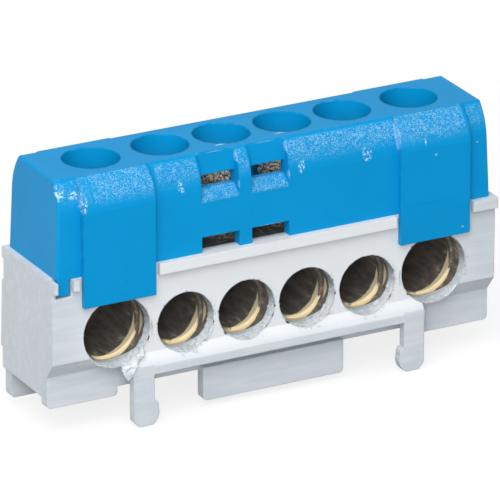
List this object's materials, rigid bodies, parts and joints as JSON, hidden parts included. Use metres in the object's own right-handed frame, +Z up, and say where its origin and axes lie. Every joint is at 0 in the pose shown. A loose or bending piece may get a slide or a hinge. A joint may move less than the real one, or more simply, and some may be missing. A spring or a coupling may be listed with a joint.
{
  "type": "neutral terminal bar",
  "caption": "Enclosed neutral terminal bar: grey snap-in base with round wire holes, brass bar inside, blue cover with screw wells over clamping screws.",
  "frame": {"origin": "middle of the row of terminals in plan, on the plane of the snap legs' tips", "axes": "+X along the row to the right as seen from the wire side, +Y from the wire side to the back, +Z up towards the screw wells"},
  "size_m": [0.0512, 0.0126, 0.0276],
  "materials": {
    "grey_plastic": "satin",
    "blue_plastic": "glossy",
    "brass": "machined",
    "plated_steel": "zinc plated"
  },
  "bodies": {
    "housing": {"base": "grey_plastic", "bar": "brass", "cover": "blue_plastic"},
    "terminal_screw_1": {"screw_1": "plated_steel"},
    "terminal_screw_2": {"screw_2": "plated_steel"},
    "terminal_screw_3": {"screw_3": "plated_steel"},
    "terminal_screw_4": {"screw_4": "plated_steel"},
    "terminal_screw_5": {"screw_5": "plated_steel"},
    "terminal_screw_6": {"screw_6": "plated_steel"}
  },
  "joints": [
    {"name": "screw_1_travel", "type": "slide", "parent": "housing", "child": "terminal_screw_1", "axis": [0, 0, 1], "range_m": [-0.006, 0]},
    {"name": "screw_2_travel", "type": "slide", "parent": "housing", "child": "terminal_screw_2", "axis": [0, 0, 1], "range_m": [-0.006, 0]},
    {"name": "screw_3_travel", "type": "slide", "parent": "housing", "child": "terminal_screw_3", "axis": [0, 0, 1], "range_m": [-0.006, 0]},
    {"name": "screw_4_travel", "type": "slide", "parent": "housing", "child": "terminal_screw_4", "axis": [0, 0, 1], "range_m": [-0.006, 0]},
    {"name": "screw_5_travel", "type": "slide", "parent": "housing", "child": "terminal_screw_5", "axis": [0, 0, 1], "range_m": [-0.006, 0]},
    {"name": "screw_6_travel", "type": "slide", "parent": "housing", "child": "terminal_screw_6", "axis": [0, 0, 1], "range_m": [-0.006, 0]}
  ]
}
